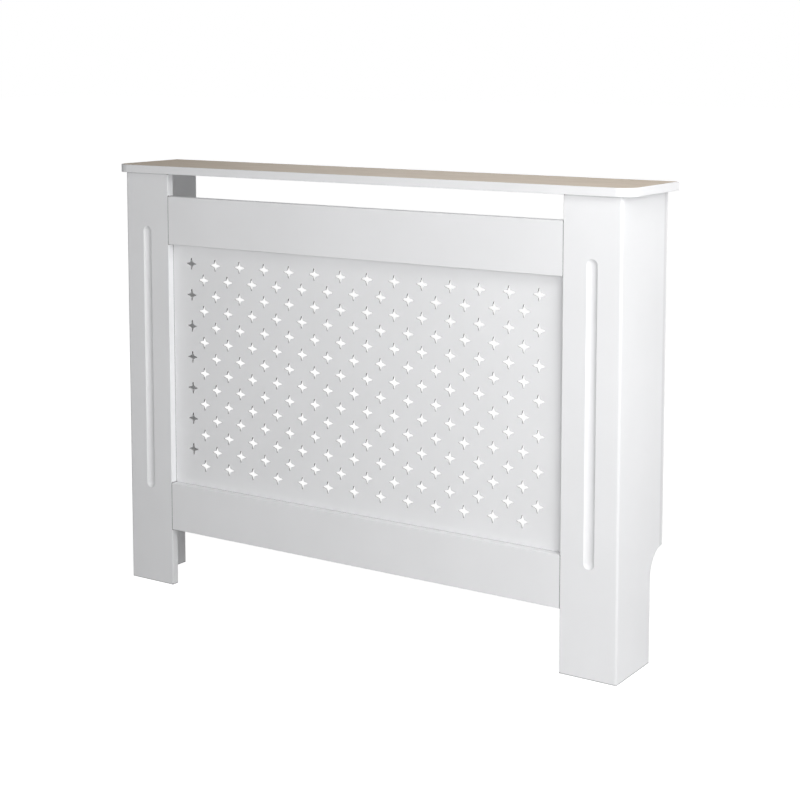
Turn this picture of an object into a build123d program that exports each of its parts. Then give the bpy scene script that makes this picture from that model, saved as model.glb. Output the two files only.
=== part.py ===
"""Radiator cover cabinet: a flat-packed white board cabinet that stands over a radiator, against a wall.

Two mitred corner posts with their side panels, two rails and a punched grille make the carcass.
A shelf with rounded front corners is pinned and cammed onto it, and two steel angles tie it to the wall.

Frame: origin on the floor at the centre of the footprint, +X to the right, +Y to the wall, +Z up.
All sizes are in millimetres.
"""
import os
from math import floor

from build123d import *

# Carcass
body_width = 1070.0  # across the outer faces of the side panels
body_depth = 175.0  # from the front of the posts to the wall
body_height = 812.0  # from the floor to the underside of the shelf
board = 15.0  # thickness of the posts and rails
side_thickness = 30.0  # the side panels are twice as thick
post_width = 107.0
corner_radius = 5.0  # rounding of the mitred front corners
eased_edge = 1.0  # rounding of the other front edges

# Shelf
shelf_thickness = 15.0
shelf_front_overhang = 8.5
shelf_side_overhang = 20.0
shelf_corner_radius = 30.0
shelf_eased_edge = 0.6
edge_band = 1.5  # white rim of the shelf, level with the laminate it surrounds
laminate_thickness = 0.8

# Rails and the gaps that the air goes through
air_slot = 43.7  # between the upper rail and the shelf
upper_rail_height = 92.5
lower_rail_height = 92.7
floor_gap = 111.8  # under the lower rail

# Flute in the face of each post, a cove run out to a round end
flute_width = 20.0
flute_depth = 5.2
flute_low = 188.0
flute_high = 708.0

# Cut-out at the foot of each side panel, for a skirting board or a pipe
skirting_depth = 48.0
skirting_height = 197.0

# Grille: a thin board punched with two interleaved grids of four-pointed crosses
grille_thickness = 3.0
grille_side_lap = 12.0  # how far it laps the posts
grille_rail_lap = 20.0  # how far it laps each rail
cross_span = 24.6  # tip to tip
cross_waist = 6.8  # across the inner corners
cross_tip = 1.3  # width of the blunt end of an arm
pitch_across = 58.4
pitch_up = 60.6
field_margin = 30.0  # least distance from a cross to the edge of the opening
field_shift_across = -3.4  # the punched field lies a little off the middle of the opening
field_shift_up = 2.3

# Cam fittings: a disc let into one board draws on a bolt screwed into the next
cam_diameter = 15.0
cam_depth = 12.0
cam_setback = 34.0  # from the joint to the middle of the disc
pin_depth = board / 2  # of the middle of a pin, under the face that its cam disc is let into
cam_bolt_diameter = 6.0
cam_bolt_grip = 11.0  # length screwed into the next board
cam_slot_length = 9.0  # screwdriver cross in the face of the disc
cam_slot_width = 1.6
cam_slot_depth = 1.8
side_cam_from_front = 80.0

# Wooden dowels
dowel_diameter = 8.0
dowel_length = 30.0
rail_dowel_spread = 50.0  # between the two dowels of one rail end
shelf_dowel_grip = 10.0  # length that stands in the shelf
post_dowel_from_cam = 32.0
side_dowels_from_front = (45.0, 130.0)

# Corner battens, glued into the mitred corners
batten_size = 18.0
batten_clearance = 45.0  # from the floor and from the shelf

# Screws
grille_screw_diameter = 3.4
grille_screw_length = 11.0
grille_screw_head = 7.0
grille_screws_across = 5
side_screws_up = 2
bracket_screw_diameter = 3.8
bracket_screw_length = 14.0
bracket_screw_head = 7.6
screw_head_height = 2.2

# Wall brackets
bracket_leg = 32.0
bracket_height = 50.0
bracket_steel = 2.0
bracket_middle_height = 705.0
bracket_hole = 5.0
bracket_hole_spacing = 26.0
bracket_hole_from_corner = 20.0

# Clearances
hole_clearance = 0.2  # on the diameter, round pins, shanks and discs
blind_clearance = 0.5  # beyond the end of a pin or a disc

# Places that follow from the sizes
half_body = body_width / 2
post_front = -(body_depth + shelf_front_overhang) / 2 + shelf_front_overhang
wall = post_front + body_depth
board_back = post_front + board
side_inside = half_body - side_thickness
half_opening = half_body - post_width
post_middle = half_body - post_width / 2
upper_rail_top = body_height - air_slot
upper_rail_low = upper_rail_top - upper_rail_height
lower_rail_top = floor_gap + lower_rail_height
opening_height = upper_rail_low - lower_rail_top
opening_middle = (upper_rail_low + lower_rail_top) / 2


def facing_front(depth):
    """Upright plane at a depth behind the posts' faces, facing the room: its x runs right and its y up."""
    return Plane(origin=(0, post_front + depth, 0), x_dir=(1, 0, 0), z_dir=(0, -1, 0))


def save(piece, name):
    """Labels a finished piece and writes it to its own file."""
    piece.part.label = name
    export_step(piece.part, f"parts/{name}.step")


# Joint hardware: where it sits, and the holes it needs


def cam_plane(side, where, face, towards):
    """Plane of a cam disc's face on the right or left side: z out of the board, x towards the joint."""
    return Plane(
        origin=(side * where[0], where[1], where[2]),
        x_dir=(side * towards[0], 0, towards[2]),
        z_dir=(side * face[0], face[1], 0),
    )


def pin_plane(plane, along=0.0, across=0.0):
    """Plane across a pin that runs inside the board under a cam plane, towards the joint."""
    middle = plane.origin + plane.x_dir * along + plane.y_dir * across - plane.z_dir * pin_depth
    return Plane(origin=middle, x_dir=plane.z_dir, z_dir=plane.x_dir)


# Heights of the fittings in the rails: the middle of the part of the rail that the grille leaves bare
upper_fitting = upper_rail_low + grille_rail_lap + (upper_rail_height - grille_rail_lap) / 2
lower_fitting = floor_gap + (lower_rail_height - grille_rail_lap) / 2


def rail_cam_planes(height):
    """The two cam planes on the back of a rail, one at each end."""
    where = (half_opening - cam_setback, board_back, height)
    return [cam_plane(side, where, (0, 1), (1, 0, 0)) for side in (1, -1)]


def post_cam_plane(side):
    """The cam plane on the back of a post, for the shelf."""
    return cam_plane(side, (post_middle, board_back, body_height - cam_setback), (0, 1), (0, 0, 1))


def side_cam_plane(side):
    """The cam plane on the inside of a side panel, for the shelf."""
    where = (side_inside, post_front + side_cam_from_front, body_height - cam_setback)
    return cam_plane(side, where, (-1, 0), (0, 0, 1))


def rail_dowel_planes(plane):
    """Planes at the joint, across the two dowels beside a rail's cam bolt."""
    spread = rail_dowel_spread / 2
    return [pin_plane(plane, cam_setback, across) for across in (-spread, spread)]


def shelf_dowel_planes(side):
    """Planes at the shelf's underside, across the dowels of one post and its side panel."""
    planes = [pin_plane(post_cam_plane(side), cam_setback, -side * post_dowel_from_cam)]
    for from_front in side_dowels_from_front:
        across = side * (from_front - side_cam_from_front)
        planes.append(pin_plane(side_cam_plane(side), cam_setback, across))
    return planes


def drill(plane, diameter, depth):
    """Drills a round hole into the piece being made, in the direction of the plane's z."""
    with BuildSketch(plane) as hole:
        Circle(diameter / 2)
    extrude(hole.sketch, amount=depth, mode=Mode.SUBTRACT)


def cut_cam(plane):
    """Pocket of a cam disc and the bore of its bolt, as far as the joint."""
    drill(plane, cam_diameter + hole_clearance, -(cam_depth + blind_clearance))
    drill(pin_plane(plane), cam_bolt_diameter + hole_clearance, cam_setback)


def cut_bolt_thread(plane):
    """Hole for the threaded end of a cam bolt, in the board on the far side of the joint."""
    hole = cam_bolt_grip + blind_clearance
    drill(pin_plane(plane, cam_setback), cam_bolt_diameter + hole_clearance, hole)


def cut_dowel(joint, grip):
    """Dowel hole that goes into the board from the joint plane; a negative grip drills backwards."""
    depth = grip + blind_clearance if grip > 0 else grip - blind_clearance
    drill(joint, dowel_diameter + hole_clearance, depth)


# Grille screws: rows along both rails, and columns up both posts


def grille_screw_sites():
    """Places of the grille screws in the plane of the grille, as distances right and up."""
    rail_middles = (
        upper_rail_low + grille_rail_lap / 2,
        lower_rail_top - grille_rail_lap / 2,
    )
    step = 2 * (half_opening - cam_setback) / (grille_screws_across - 1)
    first = -(half_opening - cam_setback)
    sites = [(first + step * i, z) for z in rail_middles for i in range(grille_screws_across)]
    rise = opening_height / (side_screws_up + 1)
    heights = [lower_rail_top + rise * (i + 1) for i in range(side_screws_up)]
    across = half_opening + grille_side_lap / 2
    return sites + [(side * across, z) for side in (-1, 1) for z in heights]


def drill_grille_pilots(sites):
    """Pilot holes for the grille screws, from the back of a board."""
    depth = grille_screw_length - grille_thickness + blind_clearance
    with BuildSketch(facing_front(board)) as pilots:
        with Locations(*sites):
            Circle((grille_screw_diameter + hole_clearance) / 2)
    extrude(pilots.sketch, amount=depth, mode=Mode.SUBTRACT)


# Post and side panel: two boards mitred at the front corner, with one rounding shared between them.
# The mitre is as deep as the post; the rest of the thicker side panel butts against the post's back.

corner_centre = (half_body - corner_radius, post_front + corner_radius)
mitre_heel = (half_body - board, board_back)
inner_corner = (side_inside, board_back)

with BuildPart() as right_post:
    with BuildSketch():
        with BuildLine():
            rounding = CenterArc(corner_centre, corner_radius, -90, 45)
            Polyline(
                rounding @ 0,
                (half_opening, post_front),
                (half_opening, board_back),
                mitre_heel,
                rounding @ 1,
            )
        make_face()
        fillet(vertices().group_by(Axis.X)[0].sort_by(Axis.Y)[0], radius=eased_edge)
    extrude(amount=body_height)
    flute_radius = (flute_width**2 / 4 + flute_depth**2) / (2 * flute_depth)
    flute_run_out = flute_width / 2
    flute_axis = Vector(post_middle, post_front + flute_depth - flute_radius, 0)
    lower_end = flute_low + flute_run_out
    upper_end = flute_high - flute_run_out
    with BuildSketch(Plane.XY.offset(lower_end)):
        with Locations(flute_axis):
            Circle(flute_radius)
    extrude(amount=upper_end - lower_end, mode=Mode.SUBTRACT)
    with Locations(flute_axis + (0, 0, lower_end), flute_axis + (0, 0, upper_end)):
        Sphere(flute_radius, mode=Mode.SUBTRACT)
    for rail_height in (upper_fitting, lower_fitting):
        rail_cam = rail_cam_planes(rail_height)[0]
        cut_bolt_thread(rail_cam)
        for joint in rail_dowel_planes(rail_cam):
            cut_dowel(joint, dowel_length / 2)
    cut_cam(post_cam_plane(1))
    cut_dowel(shelf_dowel_planes(1)[0], shelf_dowel_grip - dowel_length)
    drill_grille_pilots([site for site in grille_screw_sites() if site[0] > half_opening])

with BuildPart() as left_post:
    mirror(right_post.part, about=Plane.YZ)


def bracket_screw_plane(side, step):
    """Plane under the head of a bracket screw; step is -1 for the lower screw and 1 for the upper."""
    origin = (
        side * (side_inside - bracket_steel),
        wall - bracket_hole_from_corner,
        bracket_middle_height + step * bracket_hole_spacing / 2,
    )
    return Plane(origin=origin, x_dir=(0, 0, 1), z_dir=(-side, 0, 0))


with BuildPart() as right_side_panel:
    with BuildSketch():
        with BuildLine():
            rounding = CenterArc(corner_centre, corner_radius, -45, 45)
            Polyline(
                rounding @ 1,
                (half_body, wall),
                (side_inside, wall),
                inner_corner,
                mitre_heel,
                rounding @ 0,
            )
        make_face()
    extrude(amount=body_height)
    with BuildSketch(Plane.YZ.offset(half_body)):
        with Locations((wall, 0)):
            Rectangle(2 * skirting_depth, 2 * (skirting_height - skirting_depth))
        with Locations((wall, skirting_height - skirting_depth)):
            Circle(skirting_depth)
    extrude(amount=-side_thickness, mode=Mode.SUBTRACT)
    cut_cam(side_cam_plane(1))
    for joint in shelf_dowel_planes(1)[1:]:
        cut_dowel(joint, shelf_dowel_grip - dowel_length)
    for step in (-1, 1):
        pilot = bracket_screw_plane(1, step).offset(-bracket_steel)
        pilot_depth = bracket_screw_length - bracket_steel + blind_clearance
        drill(pilot, bracket_screw_diameter + hole_clearance, -pilot_depth)

with BuildPart() as left_side_panel:
    mirror(right_side_panel.part, about=Plane.YZ)


# Rails


def make_rail(low, height, fitting_height, screw_sites):
    """A rail between the posts, flush with their faces, with its fittings let into the back."""
    with BuildPart() as rail:
        with BuildSketch(facing_front(board)):
            with Locations((0, low + height / 2)):
                Rectangle(2 * half_opening, height)
        extrude(amount=board)
        fillet(faces().sort_by(Axis.Y)[0].edges(), radius=eased_edge)
        for plane in rail_cam_planes(fitting_height):
            cut_cam(plane)
            for joint in rail_dowel_planes(plane):
                cut_dowel(joint, -dowel_length / 2)
        drill_grille_pilots(screw_sites)
    return rail


rail_sites = [site for site in grille_screw_sites() if abs(site[0]) < half_opening]
upper_sites = [site for site in rail_sites if site[1] > upper_rail_low]
lower_sites = [site for site in rail_sites if site[1] < lower_rail_top]
upper_rail = make_rail(upper_rail_low, upper_rail_height, upper_fitting, upper_sites)
lower_rail = make_rail(floor_gap, lower_rail_height, lower_fitting, lower_sites)


# Grille


def copies_along(length, pitch):
    """How many crosses fit in a row with a clear margin at both ends."""
    return floor((length - 2 * field_margin) / pitch) + 1


with BuildSketch() as cross:
    arm = cross_span / 2
    waist = cross_waist / 2
    tip = cross_tip / 2
    with BuildLine():
        quarter = Polyline((tip, arm), (waist, waist), (arm, tip))
        for turn in (90, 180, 270):
            add(quarter.rotate(Axis.Z, turn))
        for turn in (0, 90, 180, 270):
            add(Line((-tip, arm), (tip, arm), mode=Mode.PRIVATE).rotate(Axis.Z, turn))
    make_face()


def cross_sites():
    """Middles of the crosses, row by row from the top; every other row has one less and lies between."""
    wide_row = copies_along(2 * half_opening, pitch_across)
    rows = copies_along(opening_height, pitch_up / 2)
    sites = []
    for row in range(rows):
        up = opening_middle + field_shift_up + ((rows - 1) / 2 - row) * pitch_up / 2
        in_row = wide_row - row % 2
        first = field_shift_across - (in_row - 1) / 2 * pitch_across
        sites += [(first + pitch_across * i, up) for i in range(in_row)]
    return sites


grille_height = opening_height + 2 * grille_rail_lap

with BuildPart() as grille_panel:
    with BuildSketch(facing_front(board + grille_thickness)):
        with Locations((0, opening_middle)):
            Rectangle(2 * (half_opening + grille_side_lap), grille_height)
        with Locations(*cross_sites()):
            add(cross.sketch, mode=Mode.SUBTRACT)
        with Locations(*grille_screw_sites()):
            Circle((grille_screw_diameter + hole_clearance) / 2, mode=Mode.SUBTRACT)
    extrude(amount=grille_thickness)

# Shelf

with BuildSketch() as shelf_outline:
    with Locations((0, -shelf_front_overhang / 2 + (post_front + wall) / 2)):
        Rectangle(body_width + 2 * shelf_side_overhang, body_depth + shelf_front_overhang)
    fillet(shelf_outline.vertices().group_by(Axis.Y)[0], radius=shelf_corner_radius)

with BuildSketch(Plane.XY.offset(body_height + shelf_thickness)) as laminate_outline:
    add(shelf_outline.sketch)
    offset(amount=-edge_band)

with BuildPart() as top_shelf:
    with BuildSketch(Plane.XY.offset(body_height)):
        add(shelf_outline.sketch)
    extrude(amount=shelf_thickness)
    levels = edges().group_by(Axis.Z)
    rims = levels[0].sort_by(Axis.Y)[:-1] + levels[-1].sort_by(Axis.Y)[:-1]
    chamfer(rims, length=shelf_eased_edge)
    extrude(laminate_outline.sketch, amount=-laminate_thickness, mode=Mode.SUBTRACT)
    for side in (1, -1):
        cut_bolt_thread(post_cam_plane(side))
        cut_bolt_thread(side_cam_plane(side))
        for joint in shelf_dowel_planes(side):
            cut_dowel(joint, shelf_dowel_grip)

with BuildPart() as shelf_laminate:
    extrude(laminate_outline.sketch, amount=-laminate_thickness)

# Corner battens

with BuildPart() as right_corner_batten:
    with BuildSketch(Plane.XY.offset(batten_clearance)):
        with Locations(inner_corner):
            Rectangle(batten_size, batten_size, align=(Align.MAX, Align.MIN))
    extrude(amount=body_height - 2 * batten_clearance)
    chamfer(edges().filter_by(Axis.Z).sort_by(Axis.Y)[-2:].sort_by(Axis.X)[0], length=eased_edge)

with BuildPart() as left_corner_batten:
    mirror(right_corner_batten.part, about=Plane.YZ)


# Cam discs, cam bolts and dowels


def make_cam_discs(planes):
    """A group of cam discs: each has a bore that takes the head of its bolt, and a driver cross."""
    with BuildPart() as discs:
        for plane in planes:
            with BuildSketch(plane):
                Circle(cam_diameter / 2)
            extrude(amount=-cam_depth)
            with BuildSketch(plane):
                Rectangle(cam_slot_length, cam_slot_width)
                Rectangle(cam_slot_width, cam_slot_length)
            extrude(amount=-cam_slot_depth, mode=Mode.SUBTRACT)
            bolt_end = pin_plane(plane, -cam_bolt_diameter / 2 - blind_clearance)
            drill(bolt_end, cam_bolt_diameter + hole_clearance, cam_diameter)
    return discs


def make_cam_bolts(planes):
    """A group of cam bolts: each runs from the middle of its disc through the joint."""
    with BuildPart() as bolts:
        for plane in planes:
            with BuildSketch(pin_plane(plane, -cam_bolt_diameter / 2)):
                Circle(cam_bolt_diameter / 2)
            extrude(amount=cam_bolt_diameter / 2 + cam_setback + cam_bolt_grip)
    return bolts


def make_dowels(joints, grip):
    """A group of dowels: grip is the length beyond the joint plane."""
    with BuildPart() as dowels:
        for joint in joints:
            with BuildSketch(joint.offset(grip - dowel_length)):
                Circle(dowel_diameter / 2)
            extrude(amount=dowel_length)
    return dowels


rail_cams = rail_cam_planes(upper_fitting) + rail_cam_planes(lower_fitting)
shelf_cams = [plane(side) for plane in (post_cam_plane, side_cam_plane) for side in (1, -1)]
rail_cam_discs = make_cam_discs(rail_cams)
shelf_cam_discs = make_cam_discs(shelf_cams)
rail_cam_bolts = make_cam_bolts(rail_cams)
shelf_cam_bolts = make_cam_bolts(shelf_cams)
rail_joints = [joint for plane in rail_cams for joint in rail_dowel_planes(plane)]
shelf_joints = [joint for side in (1, -1) for joint in shelf_dowel_planes(side)]
rail_dowels = make_dowels(rail_joints, dowel_length / 2)
shelf_dowels = make_dowels(shelf_joints, shelf_dowel_grip)


# Wall brackets and screws


def make_screws(planes, diameter, length, head):
    """A group of pan-head screws: each head stands on its plane and each shank goes down from it."""
    with BuildPart() as screws:
        for plane in planes:
            with BuildSketch(plane):
                Circle(head / 2)
            extrude(amount=screw_head_height)
            with BuildSketch(plane):
                Circle(diameter / 2)
            extrude(amount=-length)
    return screws


with BuildPart() as right_wall_bracket:
    with BuildSketch(Plane.XY.offset(bracket_middle_height - bracket_height / 2)):
        outer_bend = (side_inside, wall)
        with Locations(outer_bend):
            Rectangle(bracket_leg, bracket_leg, align=(Align.MAX, Align.MAX))
        fillet(vertices().sort_by_distance(outer_bend)[0], radius=2 * bracket_steel)
        with Locations((side_inside - bracket_steel, wall - bracket_steel)):
            RectangleRounded(
                bracket_leg,
                bracket_leg,
                bracket_steel,
                align=(Align.MAX, Align.MAX),
                mode=Mode.SUBTRACT,
            )
    extrude(amount=bracket_height)
    for step in (-1, 1):
        drill(bracket_screw_plane(1, step), bracket_hole, -bracket_steel)
        wall_hole = (
            side_inside - bracket_hole_from_corner,
            wall - bracket_steel,
            bracket_middle_height + step * bracket_hole_spacing / 2,
        )
        drill(Plane(origin=wall_hole, x_dir=(1, 0, 0), z_dir=(0, 1, 0)), bracket_hole, bracket_steel)

with BuildPart() as left_wall_bracket:
    mirror(right_wall_bracket.part, about=Plane.YZ)

grille_back = facing_front(board + grille_thickness)
grille_screw_planes = [
    Plane(origin=grille_back.from_local_coords((across, up, 0)), x_dir=(1, 0, 0), z_dir=(0, 1, 0))
    for across, up in grille_screw_sites()
]
grille_screws = make_screws(
    grille_screw_planes, grille_screw_diameter, grille_screw_length, grille_screw_head
)
bracket_screw_planes = [bracket_screw_plane(side, step) for side in (1, -1) for step in (-1, 1)]
bracket_screws = make_screws(
    bracket_screw_planes, bracket_screw_diameter, bracket_screw_length, bracket_screw_head
)

os.makedirs("parts", exist_ok=True)
save(left_post, "left_post")
save(right_post, "right_post")
save(left_side_panel, "left_side_panel")
save(right_side_panel, "right_side_panel")
save(left_corner_batten, "left_corner_batten")
save(right_corner_batten, "right_corner_batten")
save(upper_rail, "upper_rail")
save(lower_rail, "lower_rail")
save(rail_cam_discs, "rail_cam_discs")
save(rail_cam_bolts, "rail_cam_bolts")
save(rail_dowels, "rail_dowels")
save(grille_panel, "grille_panel")
save(grille_screws, "grille_screws")
save(top_shelf, "top_shelf")
save(shelf_laminate, "shelf_laminate")
save(shelf_cam_discs, "shelf_cam_discs")
save(shelf_cam_bolts, "shelf_cam_bolts")
save(shelf_dowels, "shelf_dowels")
save(left_wall_bracket, "left_wall_bracket")
save(right_wall_bracket, "right_wall_bracket")
save(bracket_screws, "bracket_screws")
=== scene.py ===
from math import radians

import bpy
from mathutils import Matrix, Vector


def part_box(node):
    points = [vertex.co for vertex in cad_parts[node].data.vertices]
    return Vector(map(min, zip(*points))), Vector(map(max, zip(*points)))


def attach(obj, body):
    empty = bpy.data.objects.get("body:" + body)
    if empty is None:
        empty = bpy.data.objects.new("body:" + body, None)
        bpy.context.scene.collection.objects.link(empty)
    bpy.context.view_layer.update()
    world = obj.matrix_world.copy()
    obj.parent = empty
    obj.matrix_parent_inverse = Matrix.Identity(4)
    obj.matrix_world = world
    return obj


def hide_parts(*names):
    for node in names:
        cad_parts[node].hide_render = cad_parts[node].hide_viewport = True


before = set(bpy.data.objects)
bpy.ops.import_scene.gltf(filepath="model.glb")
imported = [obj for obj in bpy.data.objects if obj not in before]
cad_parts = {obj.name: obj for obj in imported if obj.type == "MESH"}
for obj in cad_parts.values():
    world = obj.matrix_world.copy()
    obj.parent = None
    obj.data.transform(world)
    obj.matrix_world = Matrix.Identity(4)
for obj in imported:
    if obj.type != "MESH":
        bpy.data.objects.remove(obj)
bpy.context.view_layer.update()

bpy.ops.object.select_all(action="DESELECT")


# Corner posts and side boards. Each corner is two 15 mm fibreboards, mitred and glued, with one small
# rounding between them. A cove cutter runs the flute in the post, and all of it is sprayed with satin
# lacquer, with painted shade in the joints and painted shade a tenth greyer on the rounding to hold down its
# highlight.
def place_on_piece(tree, stretch=(1, 1, 1)):
    """The spot on the piece, in metres, pulled out along an axis where the stretch is under one."""
    spot = tree.nodes.new("ShaderNodeTexCoord")
    pull = tree.nodes.new("ShaderNodeMapping")
    pull.inputs["Scale"].default_value = stretch
    tree.links.new(spot.outputs["Object"], pull.inputs["Vector"])
    return pull.outputs["Vector"]


def mottle(tree, where, per_metre, detail=2.0):
    """Soft irregular patches, so many to the metre."""
    patches = tree.nodes.new("ShaderNodeTexNoise")
    patches.inputs["Scale"].default_value = per_metre
    patches.inputs["Detail"].default_value = detail
    tree.links.new(where, patches.inputs["Vector"])
    return patches.outputs["Fac"]


def shade_between(tree, amount, dark, light, low=0.3, high=0.7):
    """A colour from dark to light as the amount goes from low to high."""
    shades = tree.nodes.new("ShaderNodeValToRGB")
    for stop, position, colour in zip(shades.color_ramp.elements, (low, high), (dark, light)):
        stop.position = position
        stop.color = (*colour, 1)
    tree.links.new(amount, shades.inputs["Fac"])
    return shades.outputs["Color"]


def between(tree, amount, least, most, low=0.3, high=0.7):
    """A number from least to most as the amount goes from low to high."""
    spread = tree.nodes.new("ShaderNodeMapRange")
    for socket, number in zip(("From Min", "From Max", "To Min", "To Max"), (low, high, least, most)):
        spread.inputs[socket].default_value = number
    tree.links.new(amount, spread.inputs["Value"])
    return spread.outputs["Result"]


def raised(tree, height, depth, strength=1.0, over=None):
    """A surface that stands up by depth metres where the height is 1, laid over another one if there is one."""
    relief = tree.nodes.new("ShaderNodeBump")
    relief.inputs["Distance"].default_value = depth
    relief.inputs["Strength"].default_value = strength
    tree.links.new(height, relief.inputs["Height"])
    if over is not None:
        tree.links.new(over, relief.inputs["Normal"])
    return relief.outputs["Normal"]


def finish_of(name, colour, roughness, normal, **settings):
    """A material from its colour, roughness and surface, and the plain settings of its shader."""
    material = bpy.data.materials.new(name)
    material.use_nodes = True
    tree = material.node_tree
    shader = tree.nodes["Principled BSDF"]
    tree.links.new(colour(tree), shader.inputs["Base Color"])
    tree.links.new(roughness(tree), shader.inputs["Roughness"])
    tree.links.new(normal(tree), shader.inputs["Normal"])
    for socket, value in settings.items():
        shader.inputs[socket.replace("_", " ")].default_value = value
    return material


def dress(material, *names):
    """Gives a finish to pieces that keep the shape they have."""
    for name in names:
        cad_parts[name].material_slots[0].material = material


def orange_peel(tree):
    """The fine skin that spray lacquer dries to, over the slow waves of a sanded board."""
    where = place_on_piece(tree)
    waves = raised(tree, mottle(tree, where, 28, 1), 0.00010)
    return raised(tree, mottle(tree, where, 620, 2), 0.000022, over=waves)


post_low, post_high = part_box("left_post")
front_out, seam_out = -post_low.y, -post_high.x
corner_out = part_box("right_side_panel")[1].x
# Reaches and colours of the painted shade: in the seams, on the front rounding and in the joints.
seam_reach, rounding_reach = (0.002, 0.003), (0.002, 0.0055)
joint_shade_reach = 0.0025
joint_shade_colour, rounding_shade_white = (0.06, 0.06, 0.06), (0.75, 0.753, 0.762)


def near_upright(tree, out, reach):
    """One close to an upright line in the front, at both ends, falling to none over the two distances."""
    mirrored = tree.nodes.new("ShaderNodeVectorMath")
    mirrored.operation = "ABSOLUTE"
    tree.links.new(place_on_piece(tree, (1, 1, 0)), mirrored.inputs[0])
    way_off = tree.nodes.new("ShaderNodeVectorMath")
    way_off.operation = "DISTANCE"
    way_off.inputs[1].default_value = (out, front_out, 0)
    tree.links.new(mirrored.outputs["Vector"], way_off.inputs[0])
    return between(tree, way_off.outputs["Value"], 1, 0, *reach)


def mixed(tree, amount, none, full):
    """A colour that goes from one to the other as the amount goes from nought to one."""
    blend = tree.nodes.new("ShaderNodeMix")
    blend.data_type = "RGBA"
    tree.links.new(amount, blend.inputs["Factor"])
    for socket, colour in (("A", none), ("B", full)):
        if isinstance(colour, tuple):
            blend.inputs[socket].default_value = (*colour, 1)
        else:
            tree.links.new(colour, blend.inputs[socket])
    return blend.outputs["Result"]


def painted_joint_shade(tree, colour):
    """Painted shade in tight inner corners, darker the more closed in they are, and more of it in the seams of
    posts and rails.
    """
    open_sky = tree.nodes.new("ShaderNodeAmbientOcclusion")
    open_sky.inputs["Distance"].default_value = joint_shade_reach
    open_sky.samples = 12
    unshaded = tree.nodes.new("ShaderNodeMix")
    tree.links.new(near_upright(tree, seam_out, seam_reach), unshaded.inputs["Factor"])
    for socket, low, high in (("A", 0.42, 0.95), ("B", 0.78, 0.99)):
        tree.links.new(between(tree, open_sky.outputs["AO"], 0, 1, low, high), unshaded.inputs[socket])
    return mixed(tree, unshaded.outputs["Result"], joint_shade_colour, colour)


def lacquered_white(tree):
    """White that is a little uneven where the spray went on thinner."""
    sprayed = mottle(tree, place_on_piece(tree), 7, 3)
    return shade_between(tree, sprayed, (0.832, 0.835, 0.845), (0.858, 0.861, 0.872))


def painted_rounding_shade(tree):
    """The white lacquer with painted shade on the rounded front corners, a tenth greyer, to hold down their
    highlight.
    """
    return mixed(tree, near_upright(tree, corner_out, rounding_reach), lacquered_white(tree), rounding_shade_white)


# The lacquer of the boards, with painted shade in the joints and on the rounding.
white_lacquer = finish_of(
    "white_lacquer",
    lambda tree: painted_joint_shade(tree, painted_rounding_shade(tree)),
    lambda tree: between(tree, mottle(tree, place_on_piece(tree), 40, 3), 0.54, 0.66),
    orange_peel,
    Specular_IOR_Level=0.35,
)
dress(white_lacquer, "left_post", "right_post", "left_side_panel", "right_side_panel")


# Corner battens. Planed softwood strips, glued into the mitred corners from floor to shelf, left bare.
def long_grain(tree, stretch, rings, dark, light):
    """Straight growth rings drawn out along the piece, with fine pores between them."""
    where = place_on_piece(tree, stretch)
    bands = mottle(tree, where, rings, 3)
    return shade_between(tree, bands, dark, light, 0.36, 0.62)


upright_grain = (1, 1, 0.03)
softwood = finish_of(
    "softwood",
    lambda tree: long_grain(tree, upright_grain, 320, (0.52, 0.32, 0.155), (0.70, 0.50, 0.29)),
    lambda tree: between(tree, mottle(tree, place_on_piece(tree, upright_grain), 500, 3), 0.55, 0.75),
    lambda tree: raised(tree, mottle(tree, place_on_piece(tree, upright_grain), 900, 3), 0.00008),
)
dress(softwood, "left_corner_batten", "right_corner_batten")


# Rails. Two boards of the same stock between the posts, flush with their faces, drawn up by cam fittings.
dress(white_lacquer, "upper_rail", "lower_rail")


# Fittings of the rails. Zinc cam discs let into the backs of the rails draw on plated steel bolts, and
# beech dowels beside them keep the rails from turning.
def fine_cast(tree):
    """The faintly pitted skin of a small die casting."""
    where = place_on_piece(tree)
    return raised(tree, mottle(tree, where, 2600, 3), 0.00003)


cast_zinc = finish_of(
    "cast_zinc",
    lambda tree: shade_between(
        tree, mottle(tree, place_on_piece(tree), 300, 3), (0.42, 0.43, 0.44), (0.56, 0.565, 0.575)
    ),
    lambda tree: between(tree, mottle(tree, place_on_piece(tree), 900, 3), 0.34, 0.52),
    fine_cast,
    Metallic=1.0,
)
plated_steel = finish_of(
    "plated_steel",
    lambda tree: shade_between(
        tree, mottle(tree, place_on_piece(tree), 120, 3), (0.56, 0.57, 0.59), (0.68, 0.69, 0.71)
    ),
    lambda tree: between(tree, mottle(tree, place_on_piece(tree), 260, 3), 0.24, 0.38),
    lambda tree: raised(tree, mottle(tree, place_on_piece(tree), 1500, 2), 0.00001),
    Metallic=1.0,
)
beech = finish_of(
    "beech",
    lambda tree: long_grain(tree, (0.1, 1, 1), 700, (0.50, 0.31, 0.17), (0.66, 0.45, 0.27)),
    lambda tree: between(tree, mottle(tree, place_on_piece(tree), 600, 3), 0.5, 0.7),
    lambda tree: raised(tree, mottle(tree, place_on_piece(tree, (0.1, 1, 1)), 1200, 2), 0.00006),
)
dress(cast_zinc, "rail_cam_discs")
dress(plated_steel, "rail_cam_bolts")
dress(beech, "rail_dowels")


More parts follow.
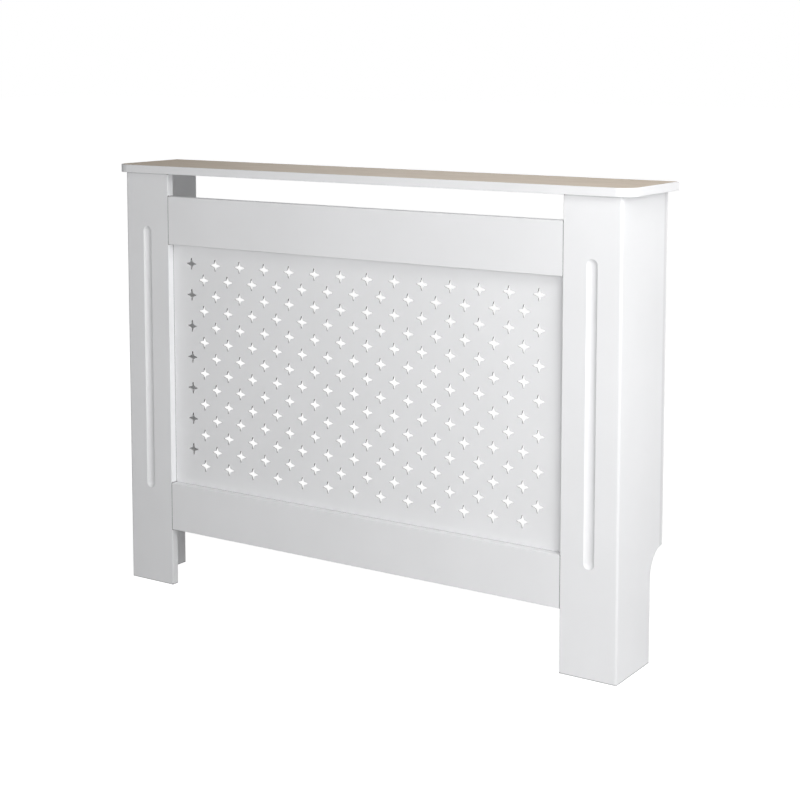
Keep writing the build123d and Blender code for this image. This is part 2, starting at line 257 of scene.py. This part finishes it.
# Grille. A 3 mm hard fibreboard, painted and then punched with two interleaved grids of four-pointed
# crosses. It lies on the backs of the rails and posts, and the punch leaves its edges slightly eased.
grille_low, grille_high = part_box("grille_panel")
cross_span, cross_waist, cross_tip = 0.0228, 0.0067, 0.0019
elbow_out, elbow_width = 0.0066, 0.0042
tip_rounding, punched_ease = 0.0006, 0.0003
pitch_across, pitch_up = 0.0584, 0.0606
crosses_in_row, wide_rows = 14, 7
field_out, field_up = 0.46, 0.22
same_spot = 1e-6
field_middle = Vector((-0.0034, grille_low.y, (grille_low.z + grille_high.z) / 2 + 0.0023))


def apply_modifier(piece, kind, **settings):
    """Adds a modifier with its settings and applies it."""
    bpy.context.view_layer.objects.active = piece
    modifier = piece.modifiers.new(kind.lower(), kind)
    for name, value in settings.items():
        setattr(modifier, name, value)
    bpy.ops.object.modifier_apply(modifier=modifier.name)


def settle(piece):
    """Leaves the piece's object at the origin, unturned and unscaled, with its place in its mesh."""
    bpy.ops.object.select_all(action="DESELECT")
    piece.select_set(True)
    bpy.context.view_layer.objects.active = piece
    bpy.ops.object.transform_apply(location=True, rotation=True, scale=True)


def slab(name, low, high):
    """A cube set to two corners, the start of a flat piece."""
    bpy.ops.mesh.primitive_cube_add(size=1, location=(low + high) / 2)
    piece = bpy.context.object
    piece.name = name
    piece.scale = high - low
    settle(piece)
    return piece


def select_in(piece, kind, wanted):
    """In edit mode, selects the vertices, edges or faces that the test wants, by their middle."""
    bpy.ops.object.mode_set(mode="EDIT")
    bpy.ops.mesh.select_mode(type=kind)
    bpy.ops.mesh.select_all(action="DESELECT")
    bpy.ops.object.mode_set(mode="OBJECT")
    mesh = piece.data
    parts = {"VERT": mesh.vertices, "EDGE": mesh.edges, "FACE": mesh.polygons}[kind]
    for part in parts:
        corners = [mesh.vertices[i].co for i in (part.vertices if kind != "VERT" else [part.index])]
        part.select = wanted(sum(corners, Vector()) / len(corners), corners)
    bpy.ops.object.mode_set(mode="EDIT")


def make_punch():
    """The punch of one cross: a square drawn out into four slightly hollow arms with blunt, rounded tips."""
    bpy.ops.mesh.primitive_plane_add(size=cross_waist, rotation=(radians(90), 0, 0))
    punch = bpy.context.object
    settle(punch)
    stations = ((cross_waist / 2, cross_waist), (elbow_out, elbow_width), (cross_span / 2, cross_tip))
    for way in (Vector((1, 0, 0)), Vector((0, 0, 1)), Vector((-1, 0, 0)), Vector((0, 0, -1))):
        for (near, wide), (far, narrow) in zip(stations, stations[1:]):
            select_in(punch, "EDGE", lambda middle, corners: (middle - way * near).length < same_spot)
            bpy.ops.mesh.extrude_region_move(TRANSFORM_OT_translate={"value": tuple(way * (far - near))})
            thinner = narrow / wide
            bpy.ops.transform.resize(
                value=(thinner if way.z else 1, 1, thinner if way.x else 1), center_override=way * far
            )
            bpy.ops.object.mode_set(mode="OBJECT")
    bpy.ops.object.mode_set(mode="EDIT")
    bpy.ops.mesh.select_all(action="SELECT")
    bpy.ops.mesh.remove_doubles(threshold=same_spot)
    through = 3 * (grille_high.y - grille_low.y)
    bpy.ops.mesh.extrude_region_move(TRANSFORM_OT_translate={"value": (0, through, 0)})
    bpy.ops.mesh.select_all(action="SELECT")
    bpy.ops.transform.translate(value=(0, -through / 3, 0))
    bpy.ops.mesh.normals_make_consistent(inside=False)
    bpy.ops.object.mode_set(mode="OBJECT")
    at_tip = cross_span / 2 - 10 * same_spot
    select_in(
        punch,
        "EDGE",
        lambda middle, corners: max(abs(middle.x), abs(middle.z)) > at_tip
        and (corners[0] - corners[1]).xz.length < same_spot,
    )
    bpy.ops.mesh.bevel(offset=tip_rounding, segments=2)
    bpy.ops.object.mode_set(mode="OBJECT")
    return punch


def rows_of(punch, in_row, rows, first):
    """Copies of the punch in a grid, from its first place to the right and down."""
    grid = punch.copy()
    grid.data = punch.data.copy()
    bpy.context.collection.objects.link(grid)
    grid.location = first
    settle(grid)
    for count, step in ((in_row, (pitch_across, 0, 0)), (rows, (0, 0, -pitch_up))):
        apply_modifier(
            grid,
            "ARRAY",
            count=count,
            use_relative_offset=False,
            use_constant_offset=True,
            constant_offset_displace=step,
        )
    return grid


punch = make_punch()
first_wide = field_middle + Vector(
    (-(crosses_in_row - 1) / 2 * pitch_across, 0, (wide_rows - 0.5) / 2 * pitch_up)
)
wide_grid = rows_of(punch, crosses_in_row, wide_rows, first_wide)
narrow_grid = rows_of(
    punch, crosses_in_row - 1, wide_rows, first_wide + Vector((pitch_across / 2, 0, -pitch_up / 2))
)
bpy.data.objects.remove(punch)
grille = slab("grille", grille_low, grille_high)
for grid in (wide_grid, narrow_grid):
    apply_modifier(grille, "BOOLEAN", operation="DIFFERENCE", solver="EXACT", object=grid)
    bpy.data.objects.remove(grid)
apply_modifier(
    grille, "BEVEL", width=punched_ease, segments=1, limit_method="ANGLE", angle_limit=radians(20)
)
bpy.ops.object.shade_smooth_by_angle(angle=radians(32))

white_grille = finish_of(
    "white_grille",
    lacquered_white,
    lambda tree: between(tree, mottle(tree, place_on_piece(tree), 55, 3), 0.55, 0.66),
    orange_peel,
)


def punched(name, dark, light):
    """The bare cut through the board, rough and greyer than the face; made darker, it is the painted shade in
    the tips. The bare cut through the board, rough and greyer than the face; at the tips matched to the
    photo.
    """
    return finish_of(
        name,
        lambda tree: shade_between(
            tree, mottle(tree, place_on_piece(tree), 420, 3), (dark,) * 3, (light,) * 3
        ),
        lambda tree: between(tree, mottle(tree, place_on_piece(tree), 300, 2), 0.75, 0.9),
        lambda tree: raised(tree, mottle(tree, place_on_piece(tree), 1800, 3), 0.00005),
    )


def cut_wall(middle, corners):
    """Whether a face of the grille is a wall of a cross, not the board's own edge."""
    depth = max(spot.y for spot in corners) - min(spot.y for spot in corners)
    in_field = abs(middle.x) < field_out and abs(middle.z - field_middle.z) < field_up
    return in_field and depth > (grille_high.y - grille_low.y) * 2 / 3


def above_row(middle):
    """How far a face lies above the middle of its own row of crosses, or below it if less than nought."""
    rows_up = (middle.z - field_middle.z) / (pitch_up / 2) - 0.5
    return (rows_up - round(rows_up)) * pitch_up / 2


# The cut walls, and painted shade on the walls in the tips of the upright arms, darker in the upper tips than
# the lower.
for material in (
    white_grille,
    punched("punched_edge", 0.60, 0.72),
    punched("upper_tip_shade", 0.17, 0.24),
    punched("lower_tip_shade", 0.42, 0.55),
):
    grille.data.materials.append(material)
# The walls in the upper and lower arm tips get the painted shade.
for slot, wanted in (
    (1, cut_wall),
    (2, lambda middle, corners: cut_wall(middle, corners) and above_row(middle) > elbow_out),
    (3, lambda middle, corners: cut_wall(middle, corners) and above_row(middle) < -elbow_out),
):
    select_in(grille, "FACE", wanted)
    grille.active_material_index = slot
    bpy.ops.object.material_slot_assign()
    bpy.ops.object.mode_set(mode="OBJECT")
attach(grille, "root")
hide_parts("grille_panel")


# Grille screws. Small plated pan-head screws from behind, through the grille into the rails and posts.
dress(plated_steel, "grille_screws")


# Shelf. A board with two rounded front corners, pinned and cammed onto the carcass. Its edge is
# lacquered, and its top carries a thin beige laminate.
def laminate_skin(tree):
    """The very fine even texture pressed into a laminate."""
    where = place_on_piece(tree)
    return raised(tree, mottle(tree, where, 1400, 3), 0.00003)


beige_laminate = finish_of(
    "beige_laminate",
    lambda tree: shade_between(
        tree,
        mottle(tree, place_on_piece(tree, (0.25, 1, 1)), 60, 4),
        (0.557, 0.462, 0.361),
        (0.619, 0.522, 0.420),
    ),
    lambda tree: between(tree, mottle(tree, place_on_piece(tree), 120, 3), 0.58, 0.70),
    laminate_skin,
    Specular_IOR_Level=0.3,
)
dress(white_lacquer, "top_shelf")
dress(beige_laminate, "shelf_laminate")
dress(cast_zinc, "shelf_cam_discs")
dress(plated_steel, "shelf_cam_bolts")
dress(beech, "shelf_dowels")


# Wall brackets. Folded steel angles, screwed inside the side boards, that tie the cover to the wall.
dress(plated_steel, "left_wall_bracket", "right_wall_bracket", "bracket_screws")


# Studio floor. It is white to the camera and throws ordinary light back up. Its glow rises a little away
# from the piece and runs into the white of the room. It is strong enough that the shadow clips to white.
floor_size = 60.0
glow_levels, glow_distances = (0.955, 1.0), (0.9, 2.5)
bpy.ops.mesh.primitive_plane_add(size=floor_size)
studio_floor = bpy.context.object
studio_floor.name = "studio_floor"
paper = bpy.data.materials.new("studio_paper")
paper.use_nodes = True
tree = paper.node_tree
tree.nodes.clear()
seen = tree.nodes.new("ShaderNodeLightPath")
plain = tree.nodes.new("ShaderNodeBsdfDiffuse")
plain.inputs["Color"].default_value = (0.62, 0.62, 0.62, 1)
shaded = tree.nodes.new("ShaderNodeBsdfDiffuse")
shaded.inputs["Color"].default_value = (0.3, 0.3, 0.3, 1)
glow = tree.nodes.new("ShaderNodeEmission")
way_off = tree.nodes.new("ShaderNodeVectorMath")
way_off.operation = "LENGTH"
tree.links.new(place_on_piece(tree), way_off.inputs[0])
tree.links.new(between(tree, way_off.outputs["Value"], *glow_levels, *glow_distances), glow.inputs["Strength"])
both = tree.nodes.new("ShaderNodeAddShader")
choice = tree.nodes.new("ShaderNodeMixShader")
surface = tree.nodes.new("ShaderNodeOutputMaterial")
tree.links.new(shaded.outputs[0], both.inputs[0])
tree.links.new(glow.outputs[0], both.inputs[1])
tree.links.new(seen.outputs["Is Camera Ray"], choice.inputs[0])
tree.links.new(plain.outputs[0], choice.inputs[1])
tree.links.new(both.outputs[0], choice.inputs[2])
tree.links.new(choice.outputs[0], surface.inputs["Surface"])
studio_floor.data.materials.append(paper)


# Studio light. Three soft lamps stand at the right, round the corner of the piece, with one in front, a fill
# lamp at the left, one above and one behind. The pale room adds only a little.
room = bpy.data.worlds.new("pale_room")
bpy.context.scene.world = room
room.use_nodes = True
tree = room.node_tree
air = tree.nodes["Background"]
white = tree.nodes.new("ShaderNodeBackground")
white.inputs["Color"].default_value = (1, 1, 1, 1)
air.inputs["Color"].default_value = (0.97, 0.985, 1, 1)
air.inputs["Strength"].default_value = 0.03
rays = tree.nodes.new("ShaderNodeLightPath")
shown = rays.outputs["Is Camera Ray"]
for kind in ("Is Glossy Ray", "Is Transmission Ray"):
    most = tree.nodes.new("ShaderNodeMath")
    most.operation = "MAXIMUM"
    tree.links.new(shown, most.inputs[0])
    tree.links.new(rays.outputs[kind], most.inputs[1])
    shown = most.outputs[0]
pick = tree.nodes.new("ShaderNodeMixShader")
tree.links.new(shown, pick.inputs[0])
tree.links.new(air.outputs[0], pick.inputs[1])
tree.links.new(white.outputs[0], pick.inputs[2])
tree.links.new(pick.outputs[0], tree.nodes["World Output"].inputs["Surface"])


def soft_lamp(name, place, aim, size, watts):
    """A square area lamp at a place, turned to what it lights."""
    bpy.ops.object.light_add(type="AREA", location=place)
    lamp = bpy.context.object
    lamp.name = name
    lamp.data.size = size
    lamp.data.energy = watts
    lamp.rotation_euler = (Vector(aim) - Vector(place)).to_track_quat("-Z", "Y").to_euler()


middle_of_front = (0.1, 0, 0.45)
for name, place, size, watts in (
    ("key_lamp", (1.9, -1.6, 0.9), 1.4, 24.4),
    ("side_lamp", (2.2, -0.3, 1.2), 1.4, 16.2),
    ("corner_lamp", (1.2, -0.9, 1.8), 0.8, 11.0),
    ("front_lamp", (0.2, -2.6, 0.9), 1.6, 11.0),
    ("fill_lamp", (-1.8, -2.0, 0.8), 1.4, 7.4),
    ("top_lamp", (0.5, 0.35, 2.2), 1.2, 3.4),
    ("back_lamp", (-1.3, 2.4, 1.5), 1.4, 11.0),
):
    soft_lamp(name, place, middle_of_front, size, watts)


# Camera. It stands at the right in front, a little above the shelf, and looks slightly down; the
# picture is framed below its level line, as with a rising front.
bpy.ops.object.camera_add(location=(1.6802, -2.4806, 1.0352), rotation=(radians(84.183), 0, radians(33.27)))
camera = bpy.context.object
camera.data.sensor_width = 36
camera.data.lens = 74.11
camera.data.shift_y = -0.21875
bpy.context.scene.camera = camera
bpy.context.scene.view_settings.view_transform = "Standard"
